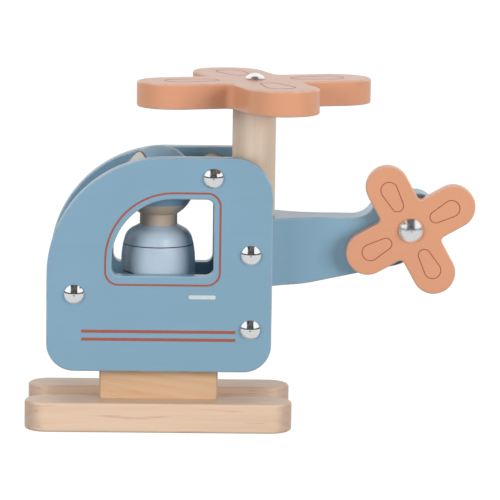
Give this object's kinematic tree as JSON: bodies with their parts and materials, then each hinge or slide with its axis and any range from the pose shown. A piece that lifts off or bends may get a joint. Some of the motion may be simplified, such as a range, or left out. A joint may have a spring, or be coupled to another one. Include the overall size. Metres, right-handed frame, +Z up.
{
  "type": "toy helicopter",
  "caption": "Wooden toy helicopter with board sides, a peg pilot, round-ended skids and two free-spinning rotors with round-tipped arms.",
  "frame": {"origin": "on the ground, at the middle of the footprint of the whole toy", "axes": "+X towards the tail, +Y towards the helicopter's right side, +Z up; the nose points to -X"},
  "size_m": [0.2262, 0.1188, 0.1791],
  "materials": {
    "blue_paint": "satin dusty-blue paint on 8 mm board, sanded edges",
    "orange_paint": "satin soft-orange paint on board, sanded edges",
    "pale_timber": "bare pine and birch dowel, fine straight grain, matt clear lacquer",
    "golden_timber": "bare pine, warmer and darker than the skids, matt clear lacquer",
    "chrome_cap": "polished domed push-on cap",
    "plain_steel": "drawn steel rod, washers and screws",
    "pilot_paint": "turned beech, pale blue satin paint over bare wood"
  },
  "bodies": {
    "airframe": {"side_panel_left": "blue_paint", "side_panel_right": "blue_paint", "nose_spacer": "pale_timber", "roof_spacer": "pale_timber", "floor_block": "golden_timber", "pedestal_block": "golden_timber", "skid_left": "pale_timber", "skid_right": "pale_timber", "tail_boom": "blue_paint", "rotor_mast": "pale_timber", "skid_screws": "plain_steel", "pedestal_dowels": "pale_timber", "cross_rods": "plain_steel", "side_caps_left": "chrome_cap", "side_caps_right": "chrome_cap", "main_rotor_pin": "plain_steel", "main_rotor_washer": "plain_steel", "main_rotor_cap": "chrome_cap", "tail_rotor_axle": "plain_steel", "tail_rotor_washer": "plain_steel", "tail_rotor_cap": "chrome_cap", "tail_rotor_back_cap": "chrome_cap"},
    "main_rotor": {"main_rotor": "orange_paint"},
    "tail_rotor": {"tail_rotor": "orange_paint"},
    "pilot": {"pilot_figure": "pilot_paint"}
  },
  "joints": [
    {"name": "main_rotor_spin", "type": "hinge", "parent": "airframe", "child": "main_rotor", "pos_m": [0.00157, 0, 0.16965], "axis": [0, 0, 1], "continuous": true},
    {"name": "tail_rotor_spin", "type": "hinge", "parent": "airframe", "child": "tail_rotor", "pos_m": [0.08077, -0.0146, 0.1022], "axis": [0, -1, 0], "continuous": true},
    {"name": "pilot_lift", "type": "slide", "parent": "airframe", "child": "pilot", "axis": [-0.7431, 0, 0.6691], "range_m": [0, 0.088]}
  ]
}
